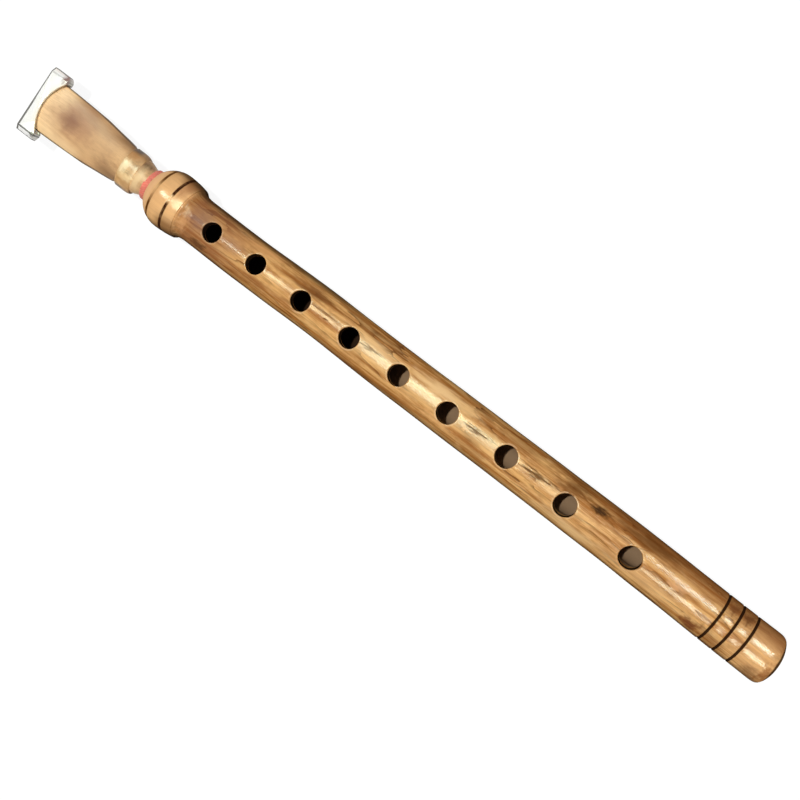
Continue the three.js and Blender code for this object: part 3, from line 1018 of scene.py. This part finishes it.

# %% [markdown]
# A painted highlight keeps the top of the middle pale, and painted shade darkens the bulb's
# flanks, the cove's +Y half and the tube's flanks towards the outline, most of all on the +Y
# side. Underneath, where the tube rests, the plain wood comes back. The masks read the station
# and the turn, in degrees from the top, positive towards +Y.

# %% Finish: painted highlight on the top, painted shade on the flanks
turn = maths("DEGREES", maths("ARCTAN2", across, up))
turned = maths("ABSOLUTE", turn)
above = levels(turned, 150, 106)
# Painted shade: both flanks of the bulb's shoulder are made darker.
bulb_flank_shade = times(levels(off(turn, 6.9), 25.8, 54.4), between(station, 11.5, 18, 22, 26))
# Painted highlight: the top of the middle is made paler.
painted_top_highlight = times(levels(off(turn, 4.6), 24.1, 8), between(station, 116, 138, 200, 214))
# Painted shade: the flanks darken towards the outline, the -Y side of the middle a little, and a darker
# line lies at the outline itself.
near_middle = times(levels(turn, -42, -66), between(station, 92, 112, 212, 232))
edges = most(levels(turn, 76, 92), levels(turn, -50, -72), times(near_middle, 0.75))
painted_limb_shade = times(most(levels(turn, 84, 93), levels(turn, -68, -79)), levels(turned, 112, 94))
base = layered(
    base,
    # Painted shade in the hollow of the cove, on its +Y half.
    (times(between(station, 22.8, 24.5, 28, 34), levels(turn, -28.6, 5.7)), 0.4, (140, 84, 48)),
    (times(bulb_flank_shade, above), 0.75, (128, 82, 42)),
    (between(station, 23, 29, 42, 70), 0.5, (150, 96, 68)),
    (painted_top_highlight, 0.35, (254, 212, 148)),
    # Painted shade on the +Y flank, towards the head and towards the foot.
    (times(levels(turn, 54, 74), levels(station, 128, 100), above), 0.8, (88, 60, 36)),
    (times(levels(turn, 45, 85), levels(station, 214, 236), above), 0.55, (122, 74, 34)),
    (times(levels(turn, 16, 50), levels(station, 225, 275), above), 0.6, (142, 78, 30)),
    # Painted shade at the outline of both flanks.
    (times(edges, above), 0.7, (80, 58, 40)),
    (painted_limb_shade, 0.7, (46, 34, 24)),
)

# %% [markdown]
# Knots, smoky stains, streaks and pale spots are laid on one by one, each at its place on this very
# piece of wood, with grain-long shapes for the streaks and round ones for the knots. Several pale
# spots on the top and at the foot are painted highlights, one in the cove is painted light, and two
# smoky stains are greyed by a painted sheen.

# %% Finish: knots, stains and painted highlights of the wood
base = marked(base, [
    (255.4, 36.5, 11.6, 7, 2.6, 0.5, 0.9, (56, 38, 24)),
    (282, 50, 11.7, 24, 5, 0.6, 0.65, (104, 60, 24)),
    (313, -43, 11.7, 6.5, 4.8, 0.6, 0.9, (120, 66, 38)),
    (324.5, 52, 11.8, 4, 6, 0.6, 0.7, (120, 74, 42)),
    (331.5, 54, 11.8, 4, 6, 0.6, 0.75, (104, 62, 34)),
    (68, 52, 11.4, 14, 4.4, 0.4, 0.6, (234, 170, 106)),
    (64, 19, 11.4, 9, 1.6, 0.5, 0.5, (124, 84, 48)),
    # The next two are painted highlights on the top.
    (204, 17, 11.5, 12, 2.6, 0.4, 0.6, (252, 214, 150)),
    (132, 20, 11.5, 20, 3.2, 0.4, 0.7, (250, 206, 144)),
    (38, -46, 11.4, 6.5, 3.2, 0.5, 0.7, (84, 54, 34)),
    # The next two are smoky stains, greyed by a painted sheen.
    (34, 8, 11.4, 10, 6.5, 0.3, 0.6, (146, 108, 90)),
    (53, 8, 11.4, 9, 4, 0.4, 0.4, (156, 114, 90)),
    (70, -28, 11.4, 12, 4.4, 0.5, 0.5, (146, 92, 50)),
    (97, 34, 11.5, 15, 3.4, 0.5, 0.75, (126, 78, 38)),
    # Painted highlight on the +Y side.
    (170, 34, 11.5, 20, 3.8, 0.4, 0.9, (252, 208, 146)),
    (196, -30, 11.5, 12, 3.4, 0.5, 0.5, (150, 96, 50)),
    (194, 11, 11.5, 11, 1.5, 0.8, 0.85, (96, 62, 34)),
    # The next two are painted highlights on the -Y and the +Y side.
    (176, -20, 11.5, 10, 3.6, 0.4, 0.7, (246, 190, 120)),
    (184, 34, 11.5, 9, 3.4, 0.4, 0.75, (246, 198, 132)),
    (243, 53, 11.6, 10, 4, 0.5, 0.6, (110, 66, 28)),
    # Painted light on the -Y half of the cove.
    (26.5, -22, 11.9, 3.6, 7, 0.5, 0.5, (232, 174, 118)),
    (19.5, 42, 13.8, 4.4, 9, 0.4, 0.55, (172, 108, 62)),
    (84, -20, 11.4, 14, 3.4, 0.5, 0.4, (168, 108, 56)),
    (58, 34, 11.4, 16, 4, 0.5, 0.4, (178, 112, 62)),
    (212, 50, 11.6, 16, 4.4, 0.5, 0.5, (138, 84, 38)),
    (227, 15, 11.5, 13, 1.8, 0.8, 0.85, (92, 60, 32)),
    (240, 34, 11.6, 10, 3.4, 0.5, 0.65, (116, 70, 32)),
    (244, -36, 11.6, 14, 3, 0.5, 0.35, (150, 94, 48)),
    (134, 12, 11.5, 10, 1.3, 0.7, 0.75, (100, 62, 30)),
    (108, 14, 11.5, 12, 0.9, 0.5, 0.6, (100, 64, 34)),
    # Painted highlight, part of the glare streak at the foot.
    (286, -26, 11.7, 26, 6, 0.3, 0.5, (250, 202, 138)),
    (248, -38, 11.7, 24, 4.6, 0.4, 0.7, (250, 208, 146)),
    (324, -40, 11.8, 10, 7, 0.4, 0.5, (146, 96, 54)),
    (300, 9, 11.7, 7, 2.4, 0.4, 0.8, (228, 172, 118)),
    (345, -50, 11.4, 7, 6, 0.5, 0.6, (126, 84, 50)),
    (350, -28, 10.6, 4, 6.5, 0.7, 0.7, (150, 90, 42)),
])

# %% [markdown]
# A painted highlight stands as a pale ring round each finger hole. The five rings were burned in
# with a wire, so they are nearly black. Where the hand holds the bulb, its two rings fade on top,
# partly worn and partly a painted highlight where the gloss crosses them. The walls of the holes
# are painted nearly black as shade, the bore is painted dark as shade towards the head, the socket
# wall is darker, and all three are unlacquered. A painted dark outline of shade rounds the foot's end.

# %% Finish: rims, burned rings and the inside
RING_WEAR_AND_HIGHLIGHT = [(2.9, 28.6, 0.75, (104, 62, 24)), (5.2, 12.6, 0.95, (62, 32, 16))]
distance = hypot(across, up)
breaks = noise(tree, 260, 3)
RIM_MIDDLE = 0.4
rims = []
for hole_station, hole_turn, radius in holes[:-1]:
    aside = MEAN_RADIUS * math.sin(math.radians(hole_turn)) + bend_at(hole_station)
    from_hole = hypot(maths("SUBTRACT", station, hole_station), maths("SUBTRACT", across, aside))
    rims.append(levels(off(from_hole, radius + RIM_MIDDLE), 0.5, 0.15))
# Painted highlight: a pale ring round each finger hole.
painted_rim_highlight = times(most(*rims), levels(distance, 10.9, 11.2), levels(breaks, 0.4, 0.6), levels(up, 4, 6))
base = layered(base, (painted_rim_highlight, 0.45, (244, 208, 158)))
bands = []
# The bulb's rings fade on top, partly wear and partly a painted highlight.
for ring, (heart, spread, loss, tint) in zip(BULB_RINGS, RING_WEAR_AND_HIGHLIGHT):
    worn = maths("MULTIPLY_ADD", levels(breaks, 0.3, 0.62), 0.25, 0.75)
    worn_and_highlit = weaker(levels(off(turn, heart), spread, 3.4), loss)
    bands.append(times(levels(off(station, ring), 0.95, 0.5), worn, worn_and_highlit))
    base = layered(base, (bands[-1], 1, tint))
for ring in FOOT_RINGS:
    bands.append(levels(off(station, ring), 0.8, 0.5))
    base = layered(base, (bands[-1], 0.96, (44, 24, 13)))
# Painted shade: a dark outline round the foot's rounded end.
painted_end_shade = times(between(distance, 6.8, 7.6, 10.2, 10.9), levels(station, 349, 349.8))
near_holes = times(between(station, 25, 29, 343, 346), levels(maths("ABSOLUTE", up), 5, 7))
# Painted shade: the walls of the holes are made nearly black.
painted_hole_shade = times(levels(distance, 11, 10.6), near_holes)
base = layered(base, (painted_end_shade, 0.85, (48, 32, 20)), (painted_hole_shade, 0.97, (26, 18, 13)))
# Painted shade: the bore is made dark towards the head; towards the foot it has its own colour.
bore_colour_and_shade = blend(levels(station, 126, 152), srgb(58, 42, 30), srgb(156, 128, 98))
base = blend(levels(distance, 6.6, 6.3), base, bore_colour_and_shade)
socket_side = times(levels(distance, 9.2, 8.6), levels(station, 17, 15.5))
base = layered(base, (socket_side, 0.8, (96, 70, 46)))

# %% [markdown]
# The lacquer is the shader's coat. It lies on the outside only, and looks thinner where the surface
# turns away. It has sunk into the dark open grain, and the smoky neck has lost half of it.

# %% Finish: lacquer over the wood
inside = most(painted_hole_shade, levels(distance, 9.2, 8.8))
bare = most(times(most(*bands), 0.85), inside)
turned_away = levels(node(tree, "LayerWeight", {"Blend": 0.5}).outputs["Facing"], 0.16, 0.5)
smoky = between(station, 22, 26, 40, 54)
sunk = levels(node(tree, "RGBToBW", {0: base}).outputs[0], 0.08, 0.36)
lacquer = times(maths("SUBTRACT", 1, bare), maths("MULTIPLY_ADD", turned_away, -0.48, 0.5),
                weaker(smoky, 0.55), maths("MULTIPLY_ADD", sunk, 0.94, 0.06))
peel = noise(tree, 700, 2)
wood_height = maths("ADD", times(grain["Fibres"], 0.6),
                    maths("MULTIPLY_ADD", grain["Streaks"], 0.8, times(peel, 0.9)))
lacquer_height = maths("MULTIPLY_ADD", grain["Streaks"], 0.4,
                       maths("MULTIPLY_ADD", peel, 0.9, times(grain["Mottle"], 0.6)))
dress(body, wood, Base_Color=base, Coat_Weight=lacquer,
      Roughness=maths("MULTIPLY_ADD", bare, 0.45, 0.5), Normal=bumped(wood_height, 0.3, 0.00014),
      Coat_Normal=bumped(lacquer_height, 0.45, 0.0002))

# %% [markdown]
# The reed is scraped cane: straw-coloured near the tip, browner in the middle, with fine dark
# fibres and the smoky spot where the cane was heated to open it. Painted shade darkens its +Y side
# near the tip, its flanks behind the middle, a line along its edges and the +Y side of its neck,
# and painted light brightens the top of the neck behind the bridle.

# %% Finish: scraped cane
cane, tree, shader = finish("scraped cane", Roughness=0.42, Coat_Weight=0.1, Coat_Roughness=0.3,
                            Specular_IOR_Level=0.18)
grain = lengthwise_grain(tree, 2, 34, 0.32, 9, 0.6, 4)
station, across, up = object_parts(tree)
base = blend(levels(station, -38, -64), srgb(234, 188, 132), srgb(250, 210, 156))
# Painted shade on the +Y side towards the tip.
painted_far_shade = times(levels(across, 1, 8), levels(station, -62, -50),
                 weaker(levels(station, -44, -36), 0.6))
# Painted shade on both flanks behind the middle, partly the cane's darker tint there.
flank = times(levels(maths("ABSOLUTE", across), 5, 9), between(station, -33, -21, -11, -8))
half_width = node(tree, "MapRange", {"Value": station, "From Min": -18, "From Max": -43,
                                     "To Min": 9.9, "To Max": 12.45}).outputs[0]
tip_width = node(tree, "MapRange", {"Value": station, "From Min": -43, "From Max": -73,
                                    "To Max": 0.85}).outputs[0]
from_edge = maths("SUBTRACT", maths("ADD", half_width, tip_width), off(across, -0.4))
base = layered(
    base,
    (levels(grain["Streaks"], 0.42, 0.66), 0.35, (184, 134, 90)),
    (levels(grain["Mottle"], 0.5, 0.7), 0.3, (178, 126, 80)),
    (levels(grain["Fibres"], 0.5, 0.7), 0.2, (144, 102, 66)),
    (between(station, -50, -38, -26, -19), 0.35, (186, 142, 100)),
    (painted_far_shade, 0.8, (158, 112, 72)),
    (flank, 0.7, (122, 86, 52)),
    (times(levels(across, -6.6, -11), levels(station, -36, -44)), 0.5, (254, 218, 164)),
    # Painted shade: a dark outline along the reed's edges from the bridle to the tip.
    (times(levels(from_edge, 0.8, 0.1), levels(station, -16, -19)), 0.85, (74, 52, 34)),
)
base = marked(base, [
    (-51, 22, 2.2, 17, 11.5, 0.16, 0.7, (160, 98, 60)),
    (-52, 8, 2.4, 8.5, 6.2, 0.16, 0.7, (116, 60, 34)),
    (-43, 12, 3, 8, 6, 0.3, 0.45, (168, 116, 76)),
    # Painted shade on the +Y side of the neck.
    (-5.5, 56, 7.8, 4.5, 4, 0.3, 0.85, (92, 64, 42)),
    # Painted light on the top of the neck, behind the bridle's rear edge.
    (-5.6, -8, 7.8, 3.4, 9, 0.2, 0.85, (255, 222, 166)),
    (-24, -54, 8, 12, 4.4, 0.3, 0.5, (132, 90, 58)),
    (-36, 66, 8, 20, 3, 0.3, 0.4, (150, 104, 58)),
    (-9, 40, 8, 9, 5, 0.4, 0.5, (128, 88, 50)),
])
cane_height = maths("ADD", grain["Fibres"], grain["Streaks"])
dress(reed, cane, Base_Color=base, Normal=bumped(cane_height, 0.4, 0.00015))

# %% [markdown]
# The bridle keeps the cane's own skin, which is smoother and yellower than the scraped reed. Painted
# shade darkens its +Y side and both its edges, a painted highlight lies on one facet near its front
# edge, and its top has light and dark spots.

# %% Finish: cane skin of the bridle
skin, tree, shader = finish("cane skin", Roughness=0.4, Coat_Weight=0.12, Coat_Roughness=0.35,
                            Specular_IOR_Level=0.3)
grain = lengthwise_grain(tree, 4, 5, 0.5, 5, 1, 7)
station, across, up = object_parts(tree)
base = blend(levels(grain["Streaks"], 0.3, 0.7), srgb(236, 190, 128), srgb(206, 156, 94))
base = layered(
    base,
    (levels(grain["Mottle"], 0.45, 0.66), 0.5, (172, 122, 66)),
    # Painted shade: the +Y side darkens, and a dark outline runs along both edges.
    (levels(across, 1.5, 7.5), 0.65, (158, 108, 56)),
    (levels(across, 6.5, 9), 0.9, (60, 44, 30)),
    (levels(across, -9.1, -10.2), 0.85, (70, 54, 34)),
    (levels(station, -13.4, -10.6), 0.6, (190, 142, 88)),
)
base = marked(base, [
    # Painted highlight on a facet near the front edge.
    (-14.6, -2, 6.6, 3.8, 5, 0.3, 0.75, (255, 236, 186)),
    (-10.5, -34, 8, 5, 2.4, 0.4, 0.7, (250, 218, 160)),
    (-11.5, -16, 7.6, 3.6, 1.3, 0.5, 0.6, (150, 118, 66)),
    (-9.5, 26, 8, 3.6, 3, 0.5, 0.6, (136, 100, 56)),
    (-14, 44, 8, 4, 3, 0.5, 0.6, (176, 118, 58)),
])
dress(bridle, skin, Base_Color=base, Normal=bumped(grain["Mottle"], 0.3, 0.00015))

# %% [markdown]
# The thread is dyed cotton. Its strands twist round it, which a slanting wave along the turn
# shows as bump and as painted shade in the grooves between strands, and soft fuzz gives it a sheen.

# %% Finish: red thread
TWISTS_IN_A_TURN = 44
thread, tree, shader = finish("red thread", Roughness=0.8, Sheen_Weight=0.35, Sheen_Roughness=0.5)
station, across, up = object_parts(tree)
slant = maths("ADD", times(maths("ARCTAN2", across, up), TWISTS_IN_A_TURN), times(station, 9))
twist = maths("SINE", slant)
fuzz = noise(tree, 2600, 3)
base = blend(levels(fuzz, 0.35, 0.65), srgb(255, 122, 98), srgb(255, 154, 128))
# Painted shade in the grooves between the strands.
base = layered(base, (levels(twist, 0.2, -1), 0.6, (222, 78, 62)))
dress(winding, thread, Base_Color=base, Normal=bumped(maths("ADD", times(twist, 0.5), fuzz), 0.6, 0.0001))

# %% [markdown]
# The cap is ivory-coloured plastic, with a faint yellowing towards the notch. Painted shade
# darkens the wall of the notch, the long arris at the tip, the two ends' bevels, the outer ends
# and the rear corners, and tints the +Y end pinkish.

# %% Finish: ivory plastic
ivory, tree, shader = finish("ivory plastic", Roughness=0.28, Coat_Weight=0.3, Coat_Roughness=0.15)
station, across, up = object_parts(tree)
CAP_MIDDLE = -0.9
clouding = noise(tree, 160, 4)
base = blend(levels(clouding, 0.35, 0.7), srgb(255, 255, 253), srgb(254, 253, 246))
from_centre = hypot(maths("SUBTRACT", station, NOTCH_CENTRE), maths("SUBTRACT", across, CAP_MIDDLE))
flank = off(across, CAP_MIDDLE)
# Painted shade: dark lines along the ends' bevels, the outer ends and the tip.
end_line = times(levels(off(flank, CAP_FLAT_HALF), 0.55, 0.25), weaker(levels(across, 0, 1), 0.65))
low_line = levels(maths("SUBTRACT", flank, CAP_HALF_LENGTH - 0.45), 0, 0.2)
tip_place = maths("MULTIPLY_ADD", levels(across, 6, -6), -0.45, station)
tip_line = levels(tip_place, CAP_TIP + 0.75, CAP_TIP + 0.35)
# Painted shade on the wall of the notch.
painted_notch_shade = times(levels(from_centre, NOTCH_RADIUS + 0.4, NOTCH_RADIUS + 0.15), levels(up, 2.7, 1.9))
base = layered(
    base,
    (levels(from_centre, NOTCH_RADIUS + 3, NOTCH_RADIUS), 0.5, (250, 242, 210)),
    # Faint painted shade at the +Y end.
    (levels(across, 14.9, 16.4), 0.3, (240, 206, 186)),
    (most(end_line, low_line, tip_line), 0.9, (50, 45, 36)),
    (painted_notch_shade, 0.8, (112, 104, 74)),
)
base = marked(base, [
    # Painted shade in the two rear corners.
    (-65.2, 80, 15.2, 2.8, 3.4, 0.3, 0.9, (122, 72, 58)),
    (-65, -80, 16, 1.6, 2.4, 0.3, 0.9, (60, 52, 38)),
])
dress(cap, ivory, Base_Color=base, Normal=bumped(clouding, 0.1, 0.0002))

# %% [markdown]
# ## Riding on the solids
#
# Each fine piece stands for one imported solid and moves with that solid's body.

# %% Hang the pieces on the bodies
for piece, node_name, body_name, slot_name in (
    (body, "body", "body", "body_wood"),
    (reed, "reed", "reed", "reed_cane"),
    (winding, "thread_winding", "reed", "thread"),
    (bridle, "bridle", "bridle", "bridle_cane"),
    (cap, "reed_cap", "reed_cap", "cap_plastic"),
):
    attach(piece, body_name)
    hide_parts(node_name)

# %% [markdown]
# ## The picture
#
# The instrument lies on a white table. It touches the table with the bulb and with the foot, so
# the table leans by less than half a degree against the bore. The table gives a plain white
# background: its own light is added only where the camera sees it, straight or in a reflection, and
# the shadow stays.

# %% Table and surroundings
TABLE_GAP = 0.12
AMBIENT = 0.1
lean = math.atan((BULB_RADIUS - TUBE_FOOT_RADIUS) / (FOOT_END[0][0] - CREST))
bpy.ops.mesh.primitive_plane_add(size=6, location=spot(CREST, 0, -BULB_RADIUS - TABLE_GAP))
table = bpy.context.object
table.name = "table"
table.rotation_euler = (0, -lean, 0)


def seen_directly(tree):
    path = node(tree, "LightPath").outputs
    return most(path["Is Camera Ray"], path["Is Glossy Ray"], path["Is Transmission Ray"])


white, tree, shader = finish("white table", Roughness=0.9, Specular_IOR_Level=0)
shader.inputs["Base Color"].default_value = (0.15, 0.15, 0.15, 1)
glow = node(tree, "Emission", {"Color": (1, 1, 1, 1), "Strength": times(seen_directly(tree), 0.9)})
both = node(tree, "AddShader", {0: shader.outputs[0], 1: glow.outputs[0]})
tree.links.new(both.outputs[0], tree.nodes["Material Output"].inputs["Surface"])
dress(table, white)

world = bpy.data.worlds.new("studio")
bpy.context.scene.world = world
world.use_nodes = True
tree = world.node_tree
background = tree.nodes["Background"]
background.inputs["Color"].default_value = (1, 1, 1, 1)
strength = maths("MULTIPLY_ADD", seen_directly(tree), 1 - AMBIENT, AMBIENT)
tree.links.new(strength, background.inputs["Strength"])

# %% [markdown]
# The light comes in two kinds. Suns and fills give the wood and the shadow their tone but leave no
# streak in the gloss. Panels do the opposite: only gloss shows them, so each streak of glare can be
# placed without changing a colour.

# %% Lamps


def aimed(light, name, direction, power):
    light.name = name
    light.data.energy = power
    light.rotation_mode = "QUATERNION"
    light.rotation_quaternion = Vector(direction).to_track_quat("Z", "Y")
    return light


def area_lamp(name, where, aim, width, power, height):
    bpy.ops.object.light_add(type="AREA", location=where)
    made = aimed(bpy.context.object, name, Vector(where) - Vector(aim), power)
    made.data.shape = "RECTANGLE"
    made.data.size = width
    made.data.size_y = height
    return made


for name, where, power, spread in (("key", (-0.22, 0.045, 1), 1.85, 2),
                                   ("low sun", (0.9, -0.05, 0.42), 0.8, 10)):
    bpy.ops.object.light_add(type="SUN", location=where)
    sun = aimed(bpy.context.object, name, where, power)
    sun.data.angle = math.radians(spread)
    sun.visible_glossy = False
for name, where in (("left fill", (0, 0.85, 0.58)), ("right fill", (0.02, -0.85, 0.58))):
    area_lamp(name, where, (0.02, 0, 0.01), 1.1, 2.1, 0.5).visible_glossy = False
for name, where, aim, width, power, height, tint in (
    ("warm panel", (-0.07, 0.12, 1), (-0.07, 0.12, 0), 0.44, 11, 0.8, (0.92, 1, 0.76)),
    ("middle panel", (-0.15, 0.12, 1), (-0.15, 0.12, 0), 0.26, 23, 0.7, (0.82, 1, 0.74)),
    ("bulb panel", (-0.6, 0.15, 1), (-0.12, 0, 0), 0.2, 11, 0.5, (0.82, 1, 0.84)),
    ("foot panel left", (0.315, 0.316, 0.55), (0.315, 0.316, 0), 0.15, 5.5, 0.2, (0.8, 1, 0.92)),
    ("foot panel right", (0.29, -0.238, 0.55), (0.29, -0.238, 0), 0.16, 4.5, 0.2, (0.84, 1, 0.84)),
    ("spark", (-0.54, 0.1, 1), (-0.11, 0, 0.02), 0.06, 1.4, 0.06, (1, 0.95, 0.88)),
):
    panel = area_lamp(name, where, aim, width, power, height)
    panel.data.color = tint
    panel.visible_diffuse = False

# %% [markdown]
# The camera's place, turn and lens were fitted to the photo, with the nine holes, the five rings
# and the tube's two edges as marks.

# %% Camera
bpy.ops.object.camera_add(location=(0.09545, 0.05923, 0.50816),
                          rotation=[math.radians(a) for a in (-0.8685, 11.8217, 37.0270)])
camera = bpy.context.object
camera.data.sensor_width = 36
camera.data.lens = 50.29
camera.data.clip_start = 0.01
bpy.context.scene.camera = camera
bpy.context.scene.view_settings.view_transform = "Standard"
